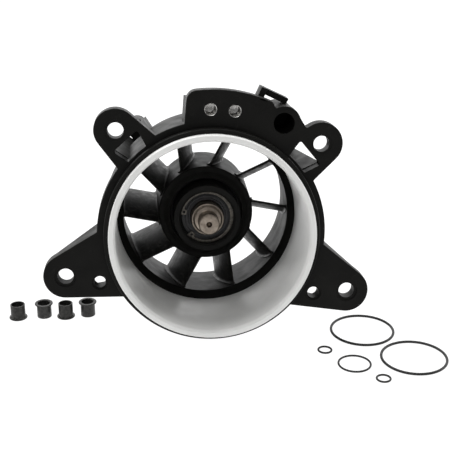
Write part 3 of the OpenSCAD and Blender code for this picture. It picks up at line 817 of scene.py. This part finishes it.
block(
    housing, HOOK_ANGLE, BRACKET_R + HOOK_GAP + 0.05, BRACKET_R + HOOK_GAP + HOOK_T - 0.05, EAR_T + 3,
    EAR_T + HOOK_W - 0.05, -HOOK_LEN / 2, HOOK_LEN / 2 - 0.5, 0.5,
)
piece("housing_moulding", housing, "pump_body", polymer, ["pump_housing"], flat_faces=True)
piece("flange_plate", front_plate(), "pump_body", polymer, flat_faces=True)


# ---- wear ring
ring = Shell()
turned(
    ring,
    rounded(
        [
            (BORE_R + RING_LEAD, RING_FRONT), (RING_R, RING_FRONT), (RING_R, RING_REAR),
            (BORE_R, RING_REAR), (BORE_R, RING_FRONT + 2 * RING_LEAD),
        ],
        [0.5, 0.8, 0.3, 0.3, 1.0],
        5,
        closed=True,
    ),
    288,
)
piece("wear_ring_liner", ring, "pump_body", white_polymer, ["wear_ring"])


# ---- hub and vanes
hub = Shell()
hub_corners = [
    (HUB_REAR_R - 0.9, HUB_END, 0), (HUB_REAR_R, HUB_END, 0.4), (HUB_R, HUB_FRONT, 0.5),
    (HUB_R - 0.8, HUB_FRONT - 0.6, 0.4), (HUB_R - 4, HUB_FRONT - 1.5, 0.4),
    (NOSE_R + 2.3, HUB_FRONT - 5, 0.5), (NOSE_R + 2.3, HUB_FRONT + 2, 0.4),
    (NOSE_R, HUB_FRONT + 2, 0.4), (NOSE_R, NOSE_FRONT, 0.6), (SEAL_BORE_R + 1.2, NOSE_FRONT, 0.3),
    (SEAL_BORE_R + 1.2, NOSE_FRONT + 0.5, 0.1), (SEAL_BORE_R, NOSE_FRONT + 1.2, 0.3),
    (SEAL_BORE_R, 51.9, 0.1), (SEAL_BORE_R + 1.4, 51.9, 0.1), (SEAL_BORE_R + 1.4, 53.5, 0.1),
    (SEAL_BORE_R, 53.5, 0.1), (SEAL_BORE_R, 64, 0.3), (BEARING_R - 4, 64, 0.3),
    (BEARING_R - 4, 70, 0.3), (BEARING_R, 70, 0.3), (BEARING_R, STACK_END, 0.1),
    (BEARING_R + 1.4, STACK_END, 0.1), (BEARING_R + 1.4, STACK_END + 1.6, 0.1),
    (BEARING_R, STACK_END + 1.6, 0.1), (BEARING_R, STACK_END + 2.55, 0.1),
    (BEARING_R + 0.4, STACK_END + 2.8, 0.1), (BEARING_R + 0.4, HUB_END, 0.4),
    (BEARING_R + 1.3, HUB_END, 0),
]
hub_rows = hub.sweep(
    turned_grid(cornered(hub_corners, 3), 192)
)
cone_bore = CONE_INSERT_R + 1.04
cone_wall = rounded(
    [
        (cone_bore + 0.6, HUB_END), (cone_bore, HUB_END), (cone_bore, HUB_END - CONE_INSERT_LEN),
        (0.02, HUB_END - CONE_INSERT_LEN),
    ],
    [0, 0.25, 0.1, 0],
    3,
)
rear_rims = [hub_rows[0], hub_rows[-1]]
for third in range(3):
    cut = hub.sweep(along_y(bored(polar(CONE_PITCH_R, 90 + 120 * third), cone_wall, 32)))
    hub.fan(cut[-1])
    rear_rims.append(cut[0])
hub.cap(rear_rims)
piece("hub_moulding", hub, "pump_body", polymer, ["stator_hub"], flat_faces=True)


def wall_radius(y, front_r, front_y, rear_r, rear_y):
    return front_r + (rear_r - front_r) * (y - front_y) / (rear_y - front_y)


def vane(shell, degrees):
    """A closed grid. Round the section, s runs from the front edge to the rear edge and back;
    the camber line moves sideways by the sweep times 1 - (1 - s)^2, and the half thickness is
    rounded to nothing at both edges. Along the span the section is carried outwards at the
    lean from the radius at its root, and near each wall it swells by a round fillet,
    f = R - sqrt(R^2 - (R - d)^2) at the distance d."""
    around = np.linspace(0, 2 * np.pi, 88, endpoint=False)
    s = (1 - np.cos(around)) / 2
    side = np.sign(np.sin(around) + 1e-12)
    body = 0.35 + 0.65 * np.sin(np.pi / 2 * np.minimum(1, s * 1.6 + 0.12))
    half = VANE_T / 2 * body * (1 - 0.45 * s**3)
    nose = np.sqrt(np.clip(1 - (1 - s / 0.025) ** 2, 0, 1)) * (s < 0.025) + (s >= 0.025)
    tail = np.sqrt(np.clip(1 - (1 - (1 - s) / 0.018) ** 2, 0, 1)) * (s > 0.982) + (s <= 0.982)
    half = half * nose * tail
    offset = VANE_SWEEP * (1 - (1 - s) ** 2)
    y = VANE_FRONT + VANE_LEN * s
    c, t = math.cos(VANE_LEAN), math.sin(VANE_LEAN)

    def span_to(wall):
        return np.sqrt(wall**2 - (offset - HUB_R * t) ** 2) - HUB_R * c

    low = span_to(wall_radius(y, HUB_R, HUB_FRONT, HUB_REAR_R, HUB_END))
    high = span_to(wall_radius(y, THROAT_R, THROAT_Y, EXIT_R, HOUSING_LEN))
    near = [-0.6, 0, 0.25, 0.55, 0.95, 1.5, VANE_ROOT, 4.0]
    rows = [low + step for step in near]
    rows += [low + 4.0 + share * (high - low - 8.0) for share in np.linspace(0, 1, 9)[1:-1]]
    rows += [high - step for step in reversed(near)]
    reach = np.stack(rows)
    wall_gap = np.maximum(np.minimum(reach - low, high - reach), 0.0)
    gap = np.clip(VANE_ROOT - wall_gap, 0, VANE_ROOT * 0.999)
    fillet = VANE_ROOT - np.sqrt(VANE_ROOT**2 - gap**2)
    grow = fillet * np.minimum(1, half / (0.2 * VANE_T))
    x = offset + side * (half + grow)
    place = turned_place(degrees)
    grid = np.stack(
        [HUB_R + reach * c - x * t, -(reach * t + x * c), np.broadcast_to(y, reach.shape)], -1
    )
    numbers = shell.sweep(place(grid))
    shell.fan(numbers[0])
    shell.fan(numbers[-1])


vanes = Shell()
for k in range(VANES):
    vane(vanes, VANE_PHASE + 360 * k / VANES)
piece("stator_blades", vanes, "pump_body", flow_polymer, ["stator_vanes"], sharp=50)


# ---- threaded inserts
def threaded_insert(shell, centre, r_in, r_out, y0, y1, pitch, bottom=None):
    """A sleeve along Y whose bore carries a helical thread: the bore's radius dips and rises
    with the triangle wave of y/pitch plus the turn, and fades out at both mouths."""
    n = 40
    turn = np.linspace(0, 1, n, endpoint=False)
    y = np.arange(y0 + 0.5, y1 - 0.5, pitch / 6)[:, None]
    wave = np.abs(2 * ((y / pitch + turn) % 1) - 1)
    fade = np.clip(np.minimum(y - y0, y1 - y) / pitch - 0.2, 0, 1)
    r = r_in + 0.55 * pitch * (0.5 - wave) * fade * 0.7
    a = 2 * np.pi * turn
    thread = np.stack([centre[0] + r * np.cos(a), y + 0 * r, centre[1] + r * np.sin(a)], -1)
    ends = rounded([(r_in, y0 + 0.3), (r_in + 0.35, y0), (r_out, y0), (r_out, y1), (r_in + 0.35, y1),
                    (r_in, y1 - 0.3)], [0, 0.05, 0.1, 0.1, 0.05, 0], 2)
    outside = turned_grid(ends, n, centre)
    if bottom is None:
        shell.sweep(np.concatenate([thread[::-1], outside]), wrap=True)
        return
    closed = rounded([(0.02, bottom), (r_in, bottom), (r_in, bottom + 0.2)], 0.05, 2)
    lid = rounded([(r_in + 0.35, y1), (r_out, y1), (r_out, y0), (0.02, y0)], [0, 0.1, 0.1, 0], 2)
    inside = turned_grid(closed, n, centre)
    rows = shell.sweep(np.concatenate([inside, thread[thread[:, 0, 1] > bottom + 0.3],
                                       turned_grid([(r_in, y1 - 0.3)], n, centre),
                                       turned_grid(lid, n, centre)]))
    shell.fan(rows[0])
    shell.fan(rows[-1])


def insert_piece(where, shell):
    name, node = f"{where}_thread_inserts", f"{where}_inserts"
    piece(name, shell, "pump_body", insert_steel, [node], 60)


bracket_inserts = Shell()
for place in INSERT_HOLES:
    threaded_insert(bracket_inserts, place, INSERT_R, INSERT_R + INSERT_WALL, INSERT_SINK, INSERT_END,
                    1.25, INSERT_SINK + 1)
for points in bracket_inserts.points:
    points[:, 1] = INSERT_SINK + INSERT_END - points[:, 1]
insert_piece("bracket", bracket_inserts)
nozzle_inserts = Shell()
for quarter in range(4):
    start = HOUSING_LEN - NOZZLE_INSERT_LEN
    threaded_insert(nozzle_inserts, polar(NOZZLE_PITCH_R, 45 + 90 * quarter), NOZZLE_INSERT_R,
                    NOZZLE_INSERT_R + INSERT_WALL, start, HOUSING_LEN, 1.25, start + 1)
insert_piece("nozzle", nozzle_inserts)
cone_inserts = Shell()
for third in range(3):
    start = HUB_END - CONE_INSERT_LEN
    threaded_insert(cone_inserts, polar(CONE_PITCH_R, 90 + 120 * third), CONE_INSERT_R,
                    CONE_INSERT_R + 1.0, start, HUB_END, 0.8, start + 1)
insert_piece("cone", cone_inserts)


# ---- shaft, nut and bearings
shaft = Shell()
shaft_corners = [
    (0.02, SHAFT_FRONT + 6.2, 0), (1.9, SHAFT_FRONT + 5, 0.1), (1.9, SHAFT_FRONT + 0.5, 0.1),
    (2.3, SHAFT_FRONT, 0.1), (STUB_R - 0.9, SHAFT_FRONT, 0.15), (STUB_R, SHAFT_FRONT + 0.9, 0.15),
    (STUB_R, 40.2, 0.15), (STUB_R - 0.5, 40.6, 0.1), (STUB_R - 0.5, 41.6, 0.2),
    (STUB_R + 2, 42.0, 0.3), (SHAFT_R - 1.1, SHAFT_STEP - 0.9, 0.2),
    (SHAFT_R - 0.3, SHAFT_STEP - 0.8, 0.2), (SHAFT_R, SHAFT_STEP, 0.2), (SHAFT_R, STACK_END, 0.2),
    (THREAD_R, STACK_END, 0.1), (THREAD_R, 122.0, 0.2), (THREAD_R - 1, 123.0, 0.2),
    (2.3, 123.0, 0.1), (1.9, 122.5, 0.1), (1.9, 118.0, 0.1), (0.02, 116.8, 0),
]
turned(shaft, cornered(shaft_corners, 3), 128)
piece("impeller_drive_shaft", shaft, "shaft", shaft_steel, ["impeller_shaft"])


def hex_nut(shell, y0, thickness, across, bore):
    """At each angle the outside follows the flats, apothem / cos(angle from the flat's middle),
    and near both faces a cone of 30 degrees takes the corners off."""
    n = 240
    a = np.linspace(0, 2 * np.pi, n, endpoint=False)
    flat = across / 2 / np.cos((a + np.pi / 6) % (np.pi / 3) - np.pi / 6)
    corner = across / 2 / math.cos(math.pi / 6)
    depth = np.array([0, 0.15, 0.4, 0.8, 1.3, 2.0])
    depth = np.concatenate([depth, [thickness / 2], thickness - depth[::-1]])[:, None]
    cone = across / 2 - 0.4 + np.minimum(depth, thickness - depth) / math.tan(math.radians(30))
    r = np.minimum(flat, np.minimum(cone, corner))
    outside = np.stack([r * np.cos(a), y0 + depth + 0 * r, r * np.sin(a)], -1)
    y1 = y0 + thickness
    mouths = [(bore + 1.0, y1), (bore, y1 - 1), (bore, y0 + 1), (bore + 1.0, y0)]
    bore_profile = rounded(mouths, 0.1, 2)
    shell.sweep(np.concatenate([outside, turned_grid(bore_profile, n)]), wrap=True)


def closed_ring(name, corners, body, finish, node, n=128, sharp=38):
    """A turned ring from corners of (radius, y, rounding)."""
    shell = Shell()
    turned(shell, cornered(corners, 4, closed=True), n)
    return piece(name, shell, body, finish, [node], sharp)


nut = Shell()
hex_nut(nut, STACK_END + WASHER_T, NUT_T, NUT_AF, THREAD_R + 0.02)
piece("shaft_end_nut", nut, "shaft", spring_steel, ["shaft_nut"], 30, True)
closed_ring(
    "nut_flat_washer",
    [(THREAD_R + 0.02, STACK_END, 0.2), (SHAFT_R + 3, STACK_END, 0.3), (SHAFT_R + 3, STACK_END + WASHER_T, 0.5),
     (THREAD_R + 0.02, STACK_END + WASHER_T, 0.3)],
    "shaft", spring_steel, "nut_washer",
)
closed_ring(
    "bearing_distance_sleeve",
    [(SHAFT_R + 0.02, 85, 0.3), (SHAFT_R + 3, 85, 0.3), (SHAFT_R + 3, 96, 0.3), (SHAFT_R + 0.02, 96, 0.3)],
    "shaft", race_steel, "bearing_spacer",
)


def race_profile(y0, inner):
    """A race in section: a rectangle with rounded corners, with the ball track cut as an arc."""
    middle = y0 + BEARING_W / 2
    track = BALL_R + 0.04
    land = BALL_R * 0.55
    half = math.sqrt(track**2 - land**2)
    t = np.linspace(-half, half, 13)
    arc_r = np.sqrt(track**2 - t**2)
    if inner:
        face, back, sign = PITCH_R - land, SHAFT_R + 0.02, -1
    else:
        face, back, sign = PITCH_R + land, BEARING_R - 0.02, 1
    arc = np.stack([PITCH_R + sign * arc_r, middle + t], 1)
    y1 = y0 + BEARING_W
    corners = [(back, y0), (face, y0)] + [tuple(p) for p in arc] + [(face, y1), (back, y1)]
    radii = [1.0, 0.4] + [0] * len(arc) + [0.4, 1.0]
    return rounded(corners, radii, 4, closed=True)


def ribbon_cage(shell, y0):
    """Two pressed ribbons that meet between the balls and bow round each one: the ribbon's
    middle stands off by sqrt(R^2 - (distance from the ball)^2), R being the ball with the sheet."""
    n = 432
    middle = y0 + BEARING_W / 2
    sheet = 0.9
    a = np.linspace(0, 2 * np.pi, n, endpoint=False)
    step = 2 * np.pi / BALLS
    off = PITCH_R * ((a + step / 2) % step - step / 2)
    bow = np.sqrt(np.maximum(0, (BALL_R + sheet / 2 + 0.08) ** 2 - off**2))
    ease = np.maximum(bow, sheet / 2 + 0.02)
    ease = np.convolve(np.concatenate([ease[-4:], ease, ease[:4]]), np.ones(5) / 5, "same")[4:-4]
    half_w = BALL_R * 0.4
    for sign in (-1, 1):
        rows = []
        for w, d in ((-half_w, -0.5), (half_w, -0.5), (half_w, 0.5), (-half_w, 0.5)):
            r = PITCH_R + w
            y = middle + sign * (ease + d * sheet)
            rows.append(np.stack([r * np.cos(a), y, r * np.sin(a)], -1))
        shell.sweep(np.stack(rows), wrap=True)


for label, y0 in zip(("front", "rear"), BEARING_FRONTS):
    outer = Shell()
    turned(outer, race_profile(y0, False), 144)
    piece(f"{label}_outer_race", outer, "pump_body", race_steel, [f"{label}_bearing_outer"])
    inner = Shell()
    turned(inner, race_profile(y0, True), 144)
    piece(f"{label}_inner_race", inner, "shaft", race_steel, [f"{label}_bearing_inner"])
    cage = Shell()
    ribbon_cage(cage, y0)
    body, node = f"{label}_cage", f"{label}_bearing_cage"
    piece(f"{label}_ribbon_cage", cage, body, cage_steel, [node], 50)
    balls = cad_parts[f"{label}_bearing_balls"]
    balls.data.materials.clear()
    balls.data.materials.append(race_steel)


# ---- seal and circlips
closed_ring(
    "seal_outer_case",
    [
        (SHAFT_R + 3.9, 54.9, 0.3), (SHAFT_R + 4.6, 54.6, 0.2), (SHAFT_R + 5.0, 55.0, 0.2),
        (SHAFT_R + 6.0, 55.0, 0.2), (SHAFT_R + 6.4, 54.7, 0.2), (SEAL_BORE_R - 1.2, 54.6, 0.3),
        (SEAL_BORE_R - 0.03, 55.8, 0.3), (SEAL_BORE_R - 0.03, 62.0, 0.3),
        (SEAL_BORE_R - 1.2, 62.0, 0.2), (SEAL_BORE_R - 1.2, 56.4, 0.4), (SHAFT_R + 3.9, 56.4, 0.3),
    ],
    "pump_body", seal_rubber, "seal_case",
)
closed_ring(
    "seal_running_lip",
    [
        (SHAFT_R + 0.85, 54.0, 0.2), (SHAFT_R + 1.7, 53.9, 0.2), (SHAFT_R + 2.2, 54.5, 0.2),
        (SHAFT_R + 3.0, 54.1, 0.2), (SHAFT_R + 4.0, 54.1, 0.3), (SHAFT_R + 4.0, 61.0, 0.3),
        (SHAFT_R + 0.95, 61.0, 0.3), (SHAFT_R + 0.05, 59.6, 0.2), (SHAFT_R + 0.75, 57.0, 0.5),
        (SHAFT_R + 0.05, 55.2, 0.2),
    ],
    "pump_body", seal_rubber, "seal_lip",
)


def garter_spring(shell, mean_r, wire_r, y):
    """A torus whose cord radius swells and thins along a helix, as a close-wound coil does."""
    a = np.linspace(0, 2 * np.pi, 900, endpoint=False)[None]
    b = np.linspace(0, 2 * np.pi, 10, endpoint=False)[:, None]
    cord = wire_r * (0.9 + 0.1 * np.cos(150 * a + b))
    r = mean_r + cord * np.cos(b)
    shell.sweep(np.stack([r * np.cos(a), y + cord * np.sin(b), r * np.sin(a)], -1), wrap=True)


spring = Shell()
garter_spring(spring, SHAFT_R + 4.0, 0.74, 59.0)
piece("seal_garter_spring", spring, "pump_body", clip_steel, ["seal_spring"], 60)


def circlip(shell, groove_r, y, first, last):
    """An open ring: an outer arc in the groove, an inner arc that deepens towards the middle of
    the ring, and a squared lug with a hole at each end. It runs from last round to first."""
    sweep_to = first + 360
    outer_r, inner_r = groove_r + 1.3, groove_r - 1.6
    outer = polar(outer_r, np.linspace(last, sweep_to, 90))
    turn = np.linspace(sweep_to, last, 90)
    deep = 0.9 * np.sin(np.radians((turn - last) / (sweep_to - last) * 180))
    lug = math.degrees(4.4 / inner_r)
    main = turn[(turn < sweep_to - lug) & (turn > last + lug)]
    inner = polar(inner_r - deep[(turn < sweep_to - lug) & (turn > last + lug)], main)
    tip_r = inner_r - 2.6
    end1 = np.array([polar(tip_r, sweep_to), polar(tip_r, sweep_to - lug)])
    end2 = np.array([polar(tip_r, last + lug), polar(tip_r, last)])
    loop = np.vstack([outer, end1, inner, end2])
    radii = np.concatenate([[0.3], np.zeros(len(outer) - 2), [0.3, 0.7, 0.7], [0.5],
                            np.zeros(len(inner) - 2), [0.5, 0.7, 0.7]])
    loop = rounded(loop, radii, 3, closed=True)
    holes = []
    for angle in (sweep_to - lug / 2, last + lug / 2):
        holes.append((bored(polar(inner_r - 0.6, angle), hole_wall(1.0, y, y + 1.5, 0.12), 24), "through"))
    slab(shell, loop, y, y + 1.5, 0.18, along_y, holes, spacing=2.0)


clip = Shell()
circlip(clip, SEAL_BORE_R, 51.95, 178, 227)
piece("seal_retaining_circlip", clip, "pump_body", clip_steel, ["seal_circlip"], 40, True)
clip = Shell()
circlip(clip, BEARING_R, STACK_END + 0.05, 80, 100)
piece(
    "bearing_retaining_circlip", clip, "pump_body", spring_steel, ["bearing_circlip"],
    40, True,
)


# ---- the fitting kit
def on_kit_surface(grid, x, y):
    """Local points, whose third value is the height, to pump points on the resting surface."""
    m = np.array(kit_frame @ Matrix.Translation((x, y, 0)))
    return grid @ m[:3, :3].T + m[:3, 3]


def bush_grid(n=72):
    """A drawn sleeve in section: barrel, a fillet under the flange, and thin rounded edges."""
    inner = BUSH_R - BUSH_WALL
    corners = [
        (inner, 0, 0.6), (BUSH_FLANGE_R, 0, 0.4), (BUSH_FLANGE_R, BUSH_FLANGE_T, 0.35),
        (BUSH_R, BUSH_FLANGE_T, 0.9), (BUSH_R, EAR_T, 0.3), (inner, EAR_T, 0.3),
    ]
    profile = cornered(corners, 4, closed=True)
    return bored((0, 0), profile, n)


for k, (x, y, flange_up) in enumerate(BUSH_PLACES, 1):
    grid = bush_grid()
    if flange_up:
        grid[..., 2] = EAR_T - grid[..., 2]
    bush = Shell()
    bush.sweep(on_kit_surface(grid, x, y), wrap=True)
    piece(f"ear_bush_{k}", bush, "pump_body", bush_oxide, [f"mount_bush_{k}"])

for name, (x, y, mean_r, cord_r) in RING_PLACES.items():
    a = np.linspace(0, 2 * np.pi, 160, endpoint=False)[None]
    b = np.linspace(0, 2 * np.pi, 20, endpoint=False)[:, None]
    r = mean_r + cord_r * np.cos(b)
    grid = np.stack([r * np.cos(a), r * np.sin(a), cord_r + cord_r * np.sin(b) + 0 * a], -1)
    cord = Shell()
    cord.sweep(on_kit_surface(grid, x, y), wrap=True)
    piece(f"{name}_cord", cord, "pump_body", ring_rubber, [name])


# ---- floor, lights and camera
def floor():
    """A wide pale sheet on the surface that the pump and its kit lie on."""
    half = 6000
    corners = np.array([(-half, -half, 0), (half, -half, 0), (half, half, 0), (-half, half, 0)], float)
    mesh = bpy.data.meshes.new("floor")
    mesh.from_pydata(on_kit_surface(corners, 0, 0) * MM, [], [(0, 1, 2, 3)])
    sheet = bpy.data.materials.new("pale_floor")
    sheet.use_nodes = True
    shader = sheet.node_tree.nodes["Principled BSDF"]
    shader.inputs["Base Color"].default_value = (0.12, 0.12, 0.12, 1)
    shader.inputs["Roughness"].default_value = 0.9
    shader.inputs["Specular IOR Level"].default_value = 0.1
    shader.inputs["Emission Color"].default_value = (1, 1, 1, 1)
    shader.inputs["Emission Strength"].default_value = 1.0
    mesh.materials.append(sheet)
    obj = bpy.data.objects.new("floor", mesh)
    bpy.context.scene.collection.objects.link(obj)


def soft_box(name, place, target, size, power):
    """A square area light at place, in millimetres, that faces target."""
    lamp = bpy.data.lights.new(name, "AREA")
    lamp.shape = "RECTANGLE"
    lamp.size, lamp.size_y = size[0] * MM, size[1] * MM
    lamp.energy = power
    obj = bpy.data.objects.new(name, lamp)
    obj.location = Vector(place) * MM
    aim = Vector(target) - Vector(place)
    obj.rotation_euler = aim.to_track_quat("-Z", "Y").to_euler()
    bpy.context.scene.collection.objects.link(obj)


floor()
MIDDLE = (0, 40, 0)
soft_box("top_light", (0, 250, 900), MIDDLE, (1100, 900), 15)
soft_box("rear_light", (0, 1100, 350), MIDDLE, (1600, 700), 5)
soft_box("left_light", (-900, 100, 300), MIDDLE, (700, 700), 4)
soft_box("right_light", (900, 150, 300), MIDDLE, (700, 700), 4)
soft_box("front_light", (-350, -1200, 800), MIDDLE, (500, 500), 3.5)

world = bpy.data.worlds.new("studio")
world.use_nodes = True
bpy.context.scene.world = world
nodes, links = world.node_tree.nodes, world.node_tree.links
nodes.clear()
output = nodes.new("ShaderNodeOutputWorld")
pale, dim = (nodes.new("ShaderNodeBackground") for _ in range(2))
for shade, strength in ((pale, 1.0), (dim, 0.24)):
    shade.inputs["Color"].default_value = (1, 1, 1, 1)
    shade.inputs["Strength"].default_value = strength
seen = nodes.new("ShaderNodeLightPath")
choice = nodes.new("ShaderNodeMixShader")
links.new(seen.outputs["Is Camera Ray"], choice.inputs[0])
links.new(dim.outputs[0], choice.inputs[1])
links.new(pale.outputs[0], choice.inputs[2])
links.new(choice.outputs[0], output.inputs["Surface"])

lens = bpy.data.cameras.new("camera")
lens.lens = 80
lens.sensor_width = 36
camera = bpy.data.objects.new("camera", lens)
bpy.context.scene.collection.objects.link(camera)
right = Vector((0.99318, -0.08606, 0.07869))
up = Vector((-0.05488, 0.25043, 0.96659))
back = Vector((-0.10289, -0.96430, 0.24400))
turn = Matrix((right, up, back)).transposed().to_4x4()
camera.matrix_world = Matrix.Translation((-0.0659, -0.7014, 0.1853)) @ turn
bpy.context.scene.camera = camera
bpy.context.scene.view_settings.view_transform = "Standard"
